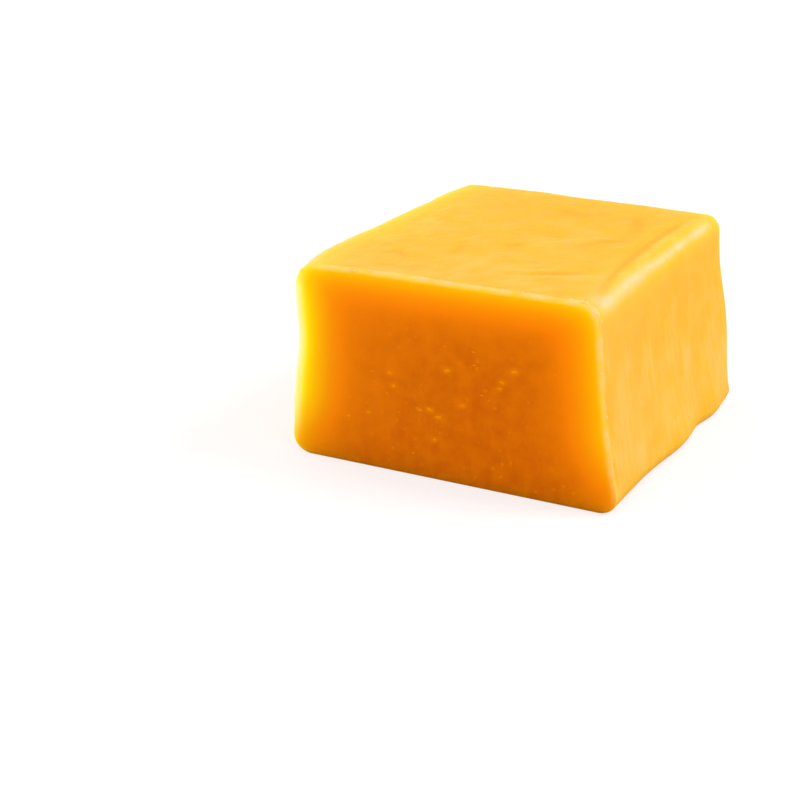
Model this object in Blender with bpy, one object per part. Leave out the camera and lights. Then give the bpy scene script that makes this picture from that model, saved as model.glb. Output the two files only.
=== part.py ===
"""A block of mild semi-soft cheese, cut straight through from a moulded loaf and lying on its base.

The front, towards -Y, is the fresh cut: a flat face with a crisp rim. The top, the sides and the back
keep the loaf's own form, with soft rounded edges, sides that spread towards the base, a crease along
each shoulder and an uneven toe where the block sagged a little on its base.

Metres, +Z up. The base lies in the plane Z = 0 and the origin is under the middle of the block.
"""
import math

import bmesh
import bpy
import numpy as np

# Driving dimensions
TOP_WIDTH = 0.0800
HEIGHT = 0.0514
LENGTH = 0.0963

# Spread of the sides from the top down to the base
RIGHT_SPREAD = 0.0029
RIGHT_FLARE = 0.0046
LEFT_SPREAD = 0.0019

# The back cut isn't square with the front: the block is shorter along its right side
BACK_SKEW = 0.046

# Edge radii of the section, seen from the front, and of the two ends. The right edges are rounder at the cut
TOP_RIGHT_RADIUS_AT_CUT = 0.0047
TOP_RIGHT_RADIUS_AT_BACK = 0.0038
TOP_LEFT_RADIUS = 0.0052
BASE_RIGHT_RADIUS_AT_CUT = 0.0052
BASE_RIGHT_RADIUS_AT_BACK = 0.0020
BASE_LEFT_RADIUS = 0.0050
CUT_RIM_RADIUS = 0.0006
BACK_END_RADIUS = 0.0048
SMALLEST_RADIUS = 0.0012

# The left shoulder swells behind the cut, and the knife pressed the cut's top left corner in
SWELL_OUT = 0.0020
SWELL_BEHIND_CUT = 0.0140
SWELL_REACH = 0.0150
PRESS_IN = 0.0014
PRESS_DROP = 0.87
PRESS_REACH = 0.0047

# A shallow hollow down the left side, close to the cut, and a low bulge of the right side near the back
HOLLOW_DEPTH = 0.0015
HOLLOW_HEIGHT = 0.0305
HOLLOW_REACH = 0.0065
HOLLOW_RUN = 0.0300
BULGE_OUT = 0.0013
BULGE_Y = 0.0440
BULGE_RUN = 0.0140
BULGE_HEIGHT = 0.0220
BULGE_REACH = 0.0120

# Uneven toe along the right side: place along Y, way out (or in) and reach
TOE_HEIGHT = 0.0090
TOE_SWELLS = (
    (-0.028, -0.0004, 0.009),
    (-0.001, 0.0013, 0.008),
    (0.016, -0.0006, 0.004),
    (0.025, 0.0013, 0.007),
    (0.049, -0.0010, 0.005),
)

# The creases that the wrapping left inside the two shoulders
CREASE_DEPTH = 0.0005
CREASE_REACH = 0.0015
RIGHT_CREASE_X = 0.0324
LEFT_CREASE_X = -0.0305
LEFT_CREASE_SHARE = 0.5
CREASE_BOW = 1.9
CREASE_MIDDLE_Y = 0.008

# Low waves of the right shoulder and of the top
SHOULDER_WAVE = 0.00045
TOP_WAVE = 0.00025

# Cuts of the mesh: steps round an edge, along a crease band, and across what is left between
EDGE_STEPS = 5
BAND_STEPS = 4
BAND_WIDTH = 0.0085
ACROSS_STEPS = 11
UP_STEPS = 9
ALONG_STEPS = 22
RIM_STEPS = 3

SKIN_COLOUR = (0.94, 0.50, 0.065, 1.0)
SKIN_ROUGHNESS = 0.48


def clear_scene():
    for item in list(bpy.data.objects):
        bpy.data.objects.remove(item, do_unlink=True)


def bell(distance, reach):
    """A bell curve: 1 at no distance, falling smoothly to nothing past about three times its reach."""
    return np.exp(-0.5 * (distance / reach) ** 2)


def end_inset(y):
    """How far the section draws in near the ends: a quarter circle at each, crisp at the cut."""
    inset = np.zeros_like(y)
    for distance, radius in ((y + LENGTH / 2, CUT_RIM_RADIUS), (LENGTH / 2 - y, BACK_END_RADIUS)):
        short = np.clip(radius - distance, 0.0, radius)
        inset += radius - np.sqrt(radius ** 2 - short ** 2)
    return inset


def along(y):
    """The place along the block: 0 at the cut, 1 at the back."""
    return (y + LENGTH / 2) / LENGTH


def section(a, b, y):
    """The square -1 to 1 turned into the block's section at y: straight sides, an arc at each corner."""
    inset = end_inset(y)
    half_width = TOP_WIDTH / 2 - inset
    half_height = HEIGHT / 2 - inset
    x = a * half_width
    z = b * half_height
    shoulder = TOP_RIGHT_RADIUS_AT_CUT + (TOP_RIGHT_RADIUS_AT_BACK - TOP_RIGHT_RADIUS_AT_CUT) * along(y)
    top = np.where(a > 0, shoulder, TOP_LEFT_RADIUS)
    toe = BASE_RIGHT_RADIUS_AT_CUT + (BASE_RIGHT_RADIUS_AT_BACK - BASE_RIGHT_RADIUS_AT_CUT) * along(y)
    base = np.where(a > 0, toe, BASE_LEFT_RADIUS)
    radius = np.maximum(np.where(b > 0, top, base) - inset, SMALLEST_RADIUS)
    centre_x = np.clip(x, radius - half_width, half_width - radius)
    centre_z = np.clip(z, radius - half_height, half_height - radius)
    dx = x - centre_x
    dz = z - centre_z
    reach = np.hypot(dx, dz)
    pull = np.where(reach > 0, np.maximum(abs(dx), abs(dz)) / np.maximum(reach, 1e-9), 1.0)
    return centre_x + dx * pull, centre_z + dz * pull + HEIGHT / 2


def settle(x, y, z):
    """The loaf's own unevenness: spreading sides, swollen shoulder, creases, waves and sagged toe."""
    drop = (HEIGHT - z) / HEIGHT
    across = np.clip(x / (TOP_WIDTH / 2), -1.1, 1.1)
    left = np.clip(-across, 0.0, None) ** 4
    right = np.clip(across, 0.0, None) ** 4
    from_cut = y + LENGTH / 2
    from_top = z - HEIGHT

    crease_bow = CREASE_BOW * (y - CREASE_MIDDLE_Y) ** 2
    crease = bell(x - RIGHT_CREASE_X - crease_bow, CREASE_REACH)
    crease += LEFT_CREASE_SHARE * bell(x - LEFT_CREASE_X - crease_bow / 2, CREASE_REACH)
    wave = np.sin(70 * x + 95 * y) + np.sin(120 * x - 55 * y + 1.0)
    skin = bell(from_top, 0.004) * np.clip(from_cut / 0.006, 0.0, 1.0)
    skin *= np.clip((LENGTH - from_cut) / 0.020, 0.0, 1.0)
    z_out = z - skin * (CREASE_DEPTH * crease + TOP_WAVE * (1 + 0.5 * wave))

    x_out = x + (across + 1) / 2 * (RIGHT_SPREAD * drop + RIGHT_FLARE * drop ** 2)
    x_out -= (1 - across) / 2 * LEFT_SPREAD * drop

    swell = SWELL_OUT * bell(from_cut - SWELL_BEHIND_CUT, SWELL_REACH)
    x_out -= left * bell(from_top, 0.010) * swell
    press = PRESS_IN * left * bell(from_top, 0.009) * bell(from_cut, PRESS_REACH)
    x_out += press
    z_out -= PRESS_DROP * press

    x_out += HOLLOW_DEPTH * left * bell(z - HOLLOW_HEIGHT, HOLLOW_REACH) * bell(from_cut, HOLLOW_RUN)
    x_out += BULGE_OUT * right * bell(z - BULGE_HEIGHT, BULGE_REACH) * bell(y - BULGE_Y, BULGE_RUN)

    for place, out, reach in TOE_SWELLS:
        x_out += right * bell(z - TOE_HEIGHT / 3, TOE_HEIGHT) * out * bell(y - place, reach)
    x_out -= right * bell(from_top, 0.007) * SHOULDER_WAVE * np.sin(2 * math.pi * along(y))

    y_out = y - BACK_SKEW * x * along(y)
    return x_out, y_out, z_out


def edge_stations(half_length, radius, straight):
    """Cuts from -1 to 1 across one side of the section: equal angles round its corners."""
    turn = np.tan(np.linspace(0.0, math.pi / 4, EDGE_STEPS + 1))
    corner = 1 - radius / half_length * (1 - turn)
    return np.concatenate([-corner[::-1], straight * corner[0], corner])


def across_stations():
    """Cuts across the width, close together where the creases run."""
    radius = (TOP_RIGHT_RADIUS_AT_CUT + TOP_LEFT_RADIUS) / 2
    flat = TOP_WIDTH / 2 - radius
    band = 1 - BAND_WIDTH / flat * np.linspace(1.0, 0.0, BAND_STEPS + 1)[:-1]
    middle = np.linspace(-band[0], band[0], ACROSS_STEPS + 1)[1:-1]
    return edge_stations(TOP_WIDTH / 2, radius, np.concatenate([-band[::-1], middle, band]))


def up_stations():
    """Cuts up the height, evenly spaced between the rounded edges."""
    radius = (TOP_RIGHT_RADIUS_AT_CUT + BASE_LEFT_RADIUS) / 2
    return edge_stations(HEIGHT / 2, radius, np.linspace(-1.0, 1.0, UP_STEPS + 1)[1:-1])


def along_stations():
    """Cuts along the length: fine round the cut's rim, even along the sides, round the back end."""
    rim = CUT_RIM_RADIUS * (1 - np.cos(np.linspace(0.0, math.pi / 2, RIM_STEPS + 1)))
    back = BACK_END_RADIUS * (1 - np.cos(np.linspace(math.pi / 2, 0.0, EDGE_STEPS + 1)))
    straight = np.linspace(rim[-1], LENGTH - back[0], ALONG_STEPS + 1)[1:-1]
    distance = np.concatenate([rim, straight, LENGTH - back])
    return distance / (LENGTH / 2) - 1


def cut_cube(stations):
    """A cube from -1 to 1 with an edge loop at each station of its three directions."""
    mesh = bmesh.new()
    bmesh.ops.create_cube(mesh, size=2.0)
    for direction, cuts in enumerate(stations):
        normal = [0.0, 0.0, 0.0]
        normal[direction] = 1.0
        for cut in cuts[1:-1]:
            point = [component * cut for component in normal]
            everything = mesh.verts[:] + mesh.edges[:] + mesh.faces[:]
            bmesh.ops.bisect_plane(mesh, geom=everything, dist=1e-6, plane_co=point, plane_no=normal)
    return mesh


def shape_block(mesh):
    """Moves the cube's vertices to the block's form and puts the origin under its middle."""
    a, c, b = np.array([vertex.co[:] for vertex in mesh.verts]).T
    y = c * LENGTH / 2
    x, z = section(a, b, y)
    x, y, z = settle(x, y, z)
    x -= (x.min() + x.max()) / 2
    y -= (y.min() + y.max()) / 2
    z -= z.min()
    for vertex, place in zip(mesh.verts, np.stack([x, y, z], axis=1)):
        vertex.co = place


def skin_material():
    material = bpy.data.materials.new("cheese")
    material.use_nodes = True
    shader = material.node_tree.nodes["Principled BSDF"]
    shader.inputs["Base Color"].default_value = SKIN_COLOUR
    shader.inputs["Roughness"].default_value = SKIN_ROUGHNESS
    shader.inputs["Metallic"].default_value = 0.0
    return material


def build_block():
    mesh = cut_cube((across_stations(), along_stations(), up_stations()))
    shape_block(mesh)
    bmesh.ops.recalc_face_normals(mesh, faces=mesh.faces)
    bmesh.ops.triangulate(mesh, faces=mesh.faces)
    data = bpy.data.meshes.new("cheese_block")
    mesh.to_mesh(data)
    mesh.free()
    data.shade_smooth()
    data.set_sharp_from_angle(angle=math.radians(40))
    data.materials.append(skin_material())
    block = bpy.data.objects.new("cheese_block", data)
    bpy.context.scene.collection.objects.link(block)


clear_scene()
build_block()
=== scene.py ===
import math

import bpy
import numpy as np
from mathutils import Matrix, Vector


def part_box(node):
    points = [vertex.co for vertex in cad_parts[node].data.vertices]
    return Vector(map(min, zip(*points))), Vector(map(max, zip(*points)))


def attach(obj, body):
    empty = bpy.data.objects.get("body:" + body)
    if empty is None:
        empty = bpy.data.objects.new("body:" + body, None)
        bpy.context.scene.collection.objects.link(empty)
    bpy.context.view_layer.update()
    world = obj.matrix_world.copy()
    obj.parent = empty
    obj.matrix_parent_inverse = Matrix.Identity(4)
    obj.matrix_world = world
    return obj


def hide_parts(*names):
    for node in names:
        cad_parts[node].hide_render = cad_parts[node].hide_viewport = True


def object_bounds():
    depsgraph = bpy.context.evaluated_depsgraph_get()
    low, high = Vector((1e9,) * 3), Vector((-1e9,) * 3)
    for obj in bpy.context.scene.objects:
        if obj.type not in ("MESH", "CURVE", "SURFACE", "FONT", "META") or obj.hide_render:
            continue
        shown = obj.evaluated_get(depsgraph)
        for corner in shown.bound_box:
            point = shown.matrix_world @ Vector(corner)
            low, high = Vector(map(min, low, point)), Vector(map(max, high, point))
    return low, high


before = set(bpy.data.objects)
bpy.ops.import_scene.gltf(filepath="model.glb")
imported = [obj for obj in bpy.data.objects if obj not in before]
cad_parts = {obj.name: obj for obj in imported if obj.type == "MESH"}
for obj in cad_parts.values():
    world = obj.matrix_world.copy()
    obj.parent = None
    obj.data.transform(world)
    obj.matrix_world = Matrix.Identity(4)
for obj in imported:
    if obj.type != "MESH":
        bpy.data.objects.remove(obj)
cad_low, cad_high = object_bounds()

# The view
# The camera stands to the right of the block and above it, about 45 cm away, and looks down at the cut
# face, the right side and the top at once. Its place and lens give the size of the block in the frame.
CAMERA_PLACE = (0.15529, -0.37487, 0.16084)
CAMERA_TARGET = (-0.03125, -0.01553, 0.00492)
CAMERA_LENS = 72.0

camera = bpy.data.objects.new("camera", bpy.data.cameras.new("camera"))
camera.data.lens = CAMERA_LENS
camera.data.clip_start = 0.01
camera.location = CAMERA_PLACE
camera.rotation_euler = (Vector(CAMERA_TARGET) - Vector(CAMERA_PLACE)).to_track_quat("-Z", "Y").to_euler()
bpy.context.scene.collection.objects.link(camera)
bpy.context.scene.camera = camera

# The block of cheese
# A cut from a moulded loaf of mild semi-soft cheese. The front is the fresh cut, flat with a crisp rim.
# The other sides keep the skin that the mould and the wrapping left: soft edges, a crease inside each
# shoulder, low wrinkles on the top and upright streaks down the sides. It lies on its base and sags.
TOP_WIDTH = 0.0800
HEIGHT = 0.0514
LENGTH = 0.0963
RIGHT_SPREAD = 0.0029
RIGHT_FLARE = 0.0046
LEFT_SPREAD = 0.0019
BACK_SKEW = 0.046
TOP_RIGHT_RADIUS_AT_CUT = 0.0047
TOP_RIGHT_RADIUS_AT_BACK = 0.0038
TOP_LEFT_RADIUS = 0.0052
BASE_RIGHT_RADIUS_AT_CUT = 0.0052
BASE_RIGHT_RADIUS_AT_BACK = 0.0020
BASE_LEFT_RADIUS = 0.0050
CUT_RIM_RADIUS = 0.0006
BACK_END_RADIUS = 0.0048
SMALLEST_RADIUS = 0.0012

# The left shoulder swells behind the cut, and the knife pressed the cut's top left corner in
SHOULDER_DROP = 0.0100
SWELL_OUT = 0.0020
SWELL_BEHIND_CUT = 0.0140
SWELL_REACH = 0.0150
PRESS_IN = 0.0014
PRESS_DROP = 0.87
PRESS_HEIGHT = 0.0090
PRESS_REACH = 0.0047

# A shallow hollow down the left side close to the cut, a low bulge of the right side near the back, and
# the uneven toe of the right side: place, way out and reach
HOLLOW_DEPTH = 0.0015
HOLLOW_HEIGHT = 0.0305
HOLLOW_REACH = 0.0065
HOLLOW_RUN = 0.0300
BULGE_OUT = 0.0013
BULGE_Y = 0.0440
BULGE_RUN = 0.0140
BULGE_HEIGHT = 0.0220
BULGE_REACH = 0.0120
TOE_HEIGHT = 0.0090
TOE_SWELLS = (
    (-0.028, -0.0004, 0.009),
    (-0.001, 0.0013, 0.008),
    (0.016, -0.0006, 0.004),
    (0.025, 0.0013, 0.007),
    (0.049, -0.0010, 0.005),
)

# The creases inside the two shoulders, and the low waves of the right shoulder and the top
CREASE_DEPTH = 0.0005
CREASE_REACH = 0.0015
RIGHT_CREASE_X = 0.0324
LEFT_CREASE_X = -0.0305
LEFT_CREASE_SHARE = 0.5
CREASE_BOW = 1.9
CREASE_MIDDLE_Y = 0.008
SHOULDER_WAVE = 0.00045
SHOULDER_WAVE_HEIGHT = 0.0070
TOP_WAVE = 0.00025
TOP_DEPTH = 0.0040
FADE_AT_CUT = 0.0060
FADE_AT_BACK = 0.0200

# The fineness of the surface: one cell of the flat sides, and steps round the edges
CELL = 0.00063
CORNER_STEPS = 8
RIM_STEPS = 3
BACK_STEPS = 14

# Relief: the wrinkles of the top run nearly lengthwise on its left half and more across it on the right
LEFT_WRINKLE_TURN = math.radians(62)
RIGHT_WRINKLE_TURN = math.radians(30)
WRINKLE_DEPTH = 0.000045
WRINKLE_STRETCH = 3.0
FOLD_DEPTH = 0.000060
FOLD_SHARPNESS = 0.16
BROAD_DEPTH = 0.00013
STREAK_DEPTH = 0.000025
STREAK_STRETCH = 6.0
RIDGE_TILT = math.radians(42)
RIDGE_REACH = math.radians(9)
RIDGE_HEIGHT = 0.00012
BEAD_DEPTH = 0.00006
LIP_HEIGHT = 0.00006
FURROW_BEHIND_RIM = 0.0017
FURROW_DEPTH = 0.00005
RIM_DEPTH = 0.00004
DRAG_DEPTH = 0.000012

# Marks of the top, as lines through places on it: dents and creases go down, ridges stand up
TOP_MARKS = (
    (-0.00016, 0.0011, ((-0.0031, -0.0128), (0.0017, -0.0095))),
    (-0.00014, 0.0009, ((0.0011, -0.0234), (0.0029, -0.0215))),
    (-0.00018, 0.0011, ((0.0135, -0.0038), (0.0184, 0.0019), (0.0246, 0.0065))),
    (0.00012, 0.0013, ((0.0032, -0.0130), (0.0058, -0.0053), (0.0102, 0.0002), (0.0197, 0.0107))),
    (0.00014, 0.0008, ((0.0090, -0.0378), (0.0137, -0.0357), (0.0256, -0.0289), (0.0312, -0.0273))),
    (-0.00012, 0.0008, ((0.0110, -0.0352), (0.0180, -0.0306), (0.0290, -0.0252))),
    (-0.00014, 0.0016, ((0.0173, 0.0308), (0.0210, 0.0217), (0.0238, 0.0117))),
    (-0.00012, 0.0014, ((-0.0035, 0.0288), (0.0030, 0.0250), (0.0063, 0.0251))),
    (-0.00010, 0.0009, ((0.0020, 0.0020), (0.0075, 0.0033))),
    (-0.00008, 0.0008, ((0.0205, -0.0171), (0.0234, -0.0156))),
    (-0.00008, 0.0008, ((0.0222, -0.0104), (0.0253, -0.0088))),
    (-0.00012, 0.0010, ((0.0321, 0.0072), (0.0351, 0.0110))),
    (-0.00010, 0.0007, ((0.0099, -0.0247), (0.0115, -0.0239))),
    (-0.00014, 0.0008, ((-0.0299, -0.0323), (-0.0244, -0.0295), (-0.0204, -0.0333))),
    (-0.00010, 0.0007, ((-0.0274, -0.0369), (-0.0243, -0.0360))),
    (-0.00010, 0.0008, ((-0.0141, -0.0440), (-0.0146, -0.0402), (-0.0141, -0.0363))),
    (-0.00009, 0.0008, ((-0.0115, -0.0259), (-0.0115, -0.0183), (-0.0092, -0.0178))),
    (0.00009, 0.0010, ((-0.0038, -0.0346), (-0.0020, -0.0300), (-0.0001, -0.0213))),
    (-0.00008, 0.0008, ((-0.0125, -0.0419), (-0.0116, -0.0370))),
    (-0.00009, 0.0009, ((0.0070, -0.0366), (0.0104, -0.0349))),
)
MARK_STEPS = 60

# Flecks of firmer, paler paste in the cut face: place across and up, and size
FLECK_PLACES = np.array([
    (-0.0135, 0.0261, 1.0), (0.0021, 0.0293, 1.2), (0.0197, 0.0319, 1.2), (0.0166, 0.0286, 1.0),
    (0.0160, 0.0270, 0.8), (0.0064, 0.0210, 0.9), (-0.0025, 0.0183, 1.2), (-0.0051, 0.0179, 0.7),
    (0.0000, 0.0167, 1.0), (-0.0124, 0.0229, 0.9), (-0.0194, 0.0147, 0.7), (-0.0252, 0.0126, 0.7),
    (-0.0011, 0.0107, 0.8),
])


def bell(distance, reach):
    """A bell curve: 1 at no distance, falling smoothly to nothing past about three times its reach."""
    return np.exp(-0.5 * (distance / reach) ** 2)


def ramp(value, low, high):
    """A smooth step: 0 below low, 1 above high, and 3t^2 - 2t^3 of the way between."""
    t = np.clip((value - low) / (high - low), 0.0, 1.0)
    return t * t * (3.0 - 2.0 * t)


def along(y):
    """The place along the block: 0 at the cut, 1 at the back."""
    return (y + LENGTH / 2) / LENGTH


def end_inset(y):
    """How far the section draws in near the ends: a quarter circle at each, crisp at the cut."""
    inset = np.zeros_like(y)
    for distance, radius in ((y + LENGTH / 2, CUT_RIM_RADIUS), (LENGTH / 2 - y, BACK_END_RADIUS)):
        short = np.clip(radius - distance, 0.0, radius)
        inset += radius - np.sqrt(radius ** 2 - short ** 2)
    return inset


def edge_radius(a, b, y):
    """The radius of the section's nearest long edge, before the ends draw it in."""
    shoulder = TOP_RIGHT_RADIUS_AT_CUT + (TOP_RIGHT_RADIUS_AT_BACK - TOP_RIGHT_RADIUS_AT_CUT) * along(y)
    toe = BASE_RIGHT_RADIUS_AT_CUT + (BASE_RIGHT_RADIUS_AT_BACK - BASE_RIGHT_RADIUS_AT_CUT) * along(y)
    top = np.where(a > 0, shoulder, TOP_LEFT_RADIUS)
    base = np.where(a > 0, toe, BASE_LEFT_RADIUS)
    return np.where(b > 0, top, base)


def section(a, b, y):
    """The square -1 to 1 turned into the block's section at y: straight sides, an arc at each corner.
    Beyond an arc's centre a point keeps its direction, and its square distance becomes a round one."""
    inset = end_inset(y)
    half_width = TOP_WIDTH / 2 - inset
    half_height = HEIGHT / 2 - inset
    x = a * half_width
    z = b * half_height
    radius = np.maximum(edge_radius(a, b, y) - inset, SMALLEST_RADIUS)
    centre_x = np.clip(x, radius - half_width, half_width - radius)
    centre_z = np.clip(z, radius - half_height, half_height - radius)
    dx = x - centre_x
    dz = z - centre_z
    reach = np.hypot(dx, dz)
    pull = np.where(reach > 0, np.maximum(abs(dx), abs(dz)) / np.maximum(reach, 1e-9), 1.0)
    return centre_x + dx * pull, centre_z + dz * pull + HEIGHT / 2


def settle(x, y, z):
    """The loaf's own unevenness: spreading sides, swollen shoulder, creases, waves and sagged toe."""
    drop = (HEIGHT - z) / HEIGHT
    across = np.clip(x / (TOP_WIDTH / 2), -1.1, 1.1)
    left = np.clip(-across, 0.0, None) ** 4
    right = np.clip(across, 0.0, None) ** 4
    from_cut = y + LENGTH / 2
    from_top = z - HEIGHT

    crease_bow = CREASE_BOW * (y - CREASE_MIDDLE_Y) ** 2
    crease = bell(x - RIGHT_CREASE_X - crease_bow, CREASE_REACH)
    crease += LEFT_CREASE_SHARE * bell(x - LEFT_CREASE_X - crease_bow / 2, CREASE_REACH)
    wave = np.sin(70 * x + 95 * y) + np.sin(120 * x - 55 * y + 1.0)
    skin = bell(from_top, TOP_DEPTH) * np.clip(from_cut / FADE_AT_CUT, 0.0, 1.0)
    skin *= np.clip((LENGTH - from_cut) / FADE_AT_BACK, 0.0, 1.0)
    z_out = z - skin * (CREASE_DEPTH * crease + TOP_WAVE * (1 + 0.5 * wave))

    x_out = x + (across + 1) / 2 * (RIGHT_SPREAD * drop + RIGHT_FLARE * drop ** 2)
    x_out -= (1 - across) / 2 * LEFT_SPREAD * drop

    swell_out = SWELL_OUT * bell(from_cut - SWELL_BEHIND_CUT, SWELL_REACH)
    x_out -= left * bell(from_top, SHOULDER_DROP) * swell_out
    press = PRESS_IN * left * bell(from_top, PRESS_HEIGHT) * bell(from_cut, PRESS_REACH)
    x_out += press
    z_out -= PRESS_DROP * press
    x_out += HOLLOW_DEPTH * left * bell(z - HOLLOW_HEIGHT, HOLLOW_REACH) * bell(from_cut, HOLLOW_RUN)
    x_out += BULGE_OUT * right * bell(z - BULGE_HEIGHT, BULGE_REACH) * bell(y - BULGE_Y, BULGE_RUN)

    for place, out, reach in TOE_SWELLS:
        x_out += right * bell(z - TOE_HEIGHT / 3, TOE_HEIGHT) * out * bell(y - place, reach)
    x_out -= right * bell(from_top, SHOULDER_WAVE_HEIGHT) * SHOULDER_WAVE * np.sin(2 * math.pi * along(y))
    y_out = y - BACK_SKEW * x * along(y)
    return x_out, y_out, z_out


def side_stations(half_length, radius):
    """Cuts from -1 to 1 across one side of the section: equal cells, then equal angles round a corner."""
    turn = np.tan(np.linspace(0.0, math.pi / 4, CORNER_STEPS + 1))
    corner = 1 - radius / half_length * (1 - turn)
    flat = round(2 * half_length * corner[0] / CELL)
    middle = np.linspace(-corner[0], corner[0], flat + 1)[1:-1]
    return np.concatenate([-corner[::-1], middle, corner])


def along_stations():
    """Cuts from -1 to 1 along the length: fine round the cut's rim, even cells, then round the back."""
    rim = CUT_RIM_RADIUS * (1 - np.cos(np.linspace(0.0, math.pi / 2, RIM_STEPS + 1)))
    back = BACK_END_RADIUS * (1 - np.cos(np.linspace(math.pi / 2, 0.0, BACK_STEPS + 1)))
    cells = round((LENGTH - back[0] - rim[-1]) / CELL)
    straight = np.linspace(rim[-1], LENGTH - back[0], cells + 1)[1:-1]
    return np.concatenate([rim, straight, LENGTH - back]) / (LENGTH / 2) - 1


def box_of_cuts(*stations):
    """The six sides of a box from -1 to 1 cut at the stations of its three directions. Each side is a grid
    over two directions, held at the first or last cut of the third. Returns points and outward quads."""
    sizes = [len(cuts) for cuts in stations]
    strides = np.array([sizes[1] * sizes[2], sizes[2], 1])
    sides = []
    for held in range(3):
        first, second = [direction for direction in range(3) if direction != held]
        u, v = np.meshgrid(np.arange(sizes[first]), np.arange(sizes[second]), indexing="ij")
        for end in (0, sizes[held] - 1):
            number = u * strides[first] + v * strides[second] + end * strides[held]
            corners = [number[:-1, :-1], number[1:, :-1], number[1:, 1:], number[:-1, 1:]]
            quads = np.stack(corners, axis=-1).reshape(-1, 4)
            outward = (end > 0) == (held != 1)
            sides.append(quads if outward else quads[:, ::-1])
    numbers, quads = np.unique(np.concatenate(sides), return_inverse=True)
    points = np.stack([cuts[numbers // stride % size]
                       for cuts, stride, size in zip(stations, strides, sizes)], axis=1)
    return points, quads.reshape(-1, 4)


def vertex_normals(points, quads):
    """The mean direction of the faces round each vertex, weighted by their area: each face counts with the
    cross product of its diagonals, which is twice its area along its direction."""
    facing = np.cross(points[quads[:, 2]] - points[quads[:, 0]], points[quads[:, 3]] - points[quads[:, 1]])
    sums = [np.bincount(quads.ravel(), np.repeat(facing[:, k], 4), len(points)) for k in range(3)]
    total = np.stack(sums, axis=1)
    return total / np.linalg.norm(total, axis=1, keepdims=True)


def waves(points, shortest, longest, seed, count):
    """Random relief, about -1 to 1: a sum of sine waves in random directions, whose lengths lie between
    the shortest and the longest, divided by 1.6 times its usual size. Points may be stretched first, to
    draw the waves out in one direction."""
    draw = np.random.default_rng(seed)
    direction = draw.normal(size=(count, points.shape[1]))
    direction /= np.linalg.norm(direction, axis=1, keepdims=True)
    length = shortest * (longest / shortest) ** draw.random(count)
    phase = 2 * math.pi * draw.random(count)
    angle = points @ (2 * math.pi * direction / length[:, None]).T + phase
    return np.sin(angle).sum(axis=1) / math.sqrt(count / 2) / 1.6


def drawn_out(x, y, bend, turn):
    """Places on the top in turned axes: the way along the wrinkles, divided by the stretch, and the way
    across them, shifted by the bend."""
    onward = x * math.cos(turn) + y * math.sin(turn)
    sideways = y * math.cos(turn) - x * math.sin(turn)
    return np.stack([onward / WRINKLE_STRETCH, sideways + bend], axis=1)


def mark(x, y, path, width):
    """A soft line drawn through path: a bell of that width across it, times the power 0.6 of a half sine
    along it, so that it fades at both ends."""
    corners = np.array(path)
    steps = np.linspace(0, len(corners) - 1, MARK_STEPS)
    line = [np.interp(steps, np.arange(len(corners)), corners[:, k]) for k in (0, 1)]
    gap = np.hypot(x[:, None] - line[0], y[:, None] - line[1])
    fade = np.sin(math.pi * (gap.argmin(axis=1) + 0.5) / MARK_STEPS) ** 0.6
    return bell(gap.min(axis=1), width) * fade


def rim_depth(x, y, z):
    """How far inside the section's outline a point lies: the distance to a box with rounded edges."""
    inset = end_inset(y)
    a = x
    b = z - HEIGHT / 2
    radius = edge_radius(a, b, y) - inset
    over_x = abs(a) - (TOP_WIDTH / 2 - inset - radius)
    over_z = abs(b) - (HEIGHT / 2 - inset - radius)
    outside = np.hypot(np.clip(over_x, 0.0, None), np.clip(over_z, 0.0, None))
    return radius - outside - np.clip(np.maximum(over_x, over_z), None, 0.0)


lattice, block_quads = box_of_cuts(
    side_stations(TOP_WIDTH / 2, (TOP_RIGHT_RADIUS_AT_CUT + TOP_LEFT_RADIUS) / 2),
    along_stations(),
    side_stations(HEIGHT / 2, (TOP_RIGHT_RADIUS_AT_CUT + BASE_LEFT_RADIUS) / 2),
)
loaf_y = lattice[:, 1] * LENGTH / 2
loaf_x, loaf_z = section(lattice[:, 0], lattice[:, 2], loaf_y)
block_points = np.stack(settle(loaf_x, loaf_y, loaf_z), axis=1)
cheese_low, cheese_high = (np.array(corner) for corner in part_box("cheese_block"))
form_middle = (block_points.min(axis=0) + block_points.max(axis=0)) / 2
form_shift = (cheese_low + cheese_high) / 2 - form_middle
form_shift[2] = cheese_low[2] - block_points[:, 2].min()
block_points += form_shift
block_normals = vertex_normals(block_points, block_quads)

# Where each kind of surface lies, as shares from 0 to 1: by the way it faces, and fading towards its edges
CUT_FACING = (0.60, 0.95)
FLAT_FACING = (0.60, 0.97)
TOP_HALF = 0.0365
TOP_FADE = 0.0050
BELOW_TOP = (0.006, 0.016)
ABOVE_BASE = (0.0004, 0.0050)
RIDGE_BEFORE_BACK = (0.003, 0.016)
MIDDLE_HALF = 0.005

x, y, z = block_points.T
from_cut = loaf_y + LENGTH / 2
from_back = LENGTH - from_cut
from_top = HEIGHT - loaf_z
inside = rim_depth(loaf_x, loaf_y, loaf_z)
rim_gap = np.hypot(np.clip(inside, 0.0, None), from_cut)
on_cut = ramp(-block_normals[:, 1], *CUT_FACING)
off_cut = 1 - on_cut
on_top = ramp(block_normals[:, 2], *FLAT_FACING) * off_cut * ramp(TOP_HALF - abs(loaf_x), 0.0, TOP_FADE)
on_side = ramp(abs(block_normals[:, 0]), *FLAT_FACING) * off_cut * ramp(HEIGHT - z, *BELOW_TOP)
on_back = ramp(block_normals[:, 1], *FLAT_FACING) * ramp(HEIGHT - z, *BELOW_TOP)
off_base = ramp(z, *ABOVE_BASE)
from_crest = np.arctan2(abs(block_normals[:, 0]), block_normals[:, 2]) - RIDGE_TILT
ridge = bell(from_crest, RIDGE_REACH) * off_cut * ramp(from_back, *RIDGE_BEFORE_BACK)
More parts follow.
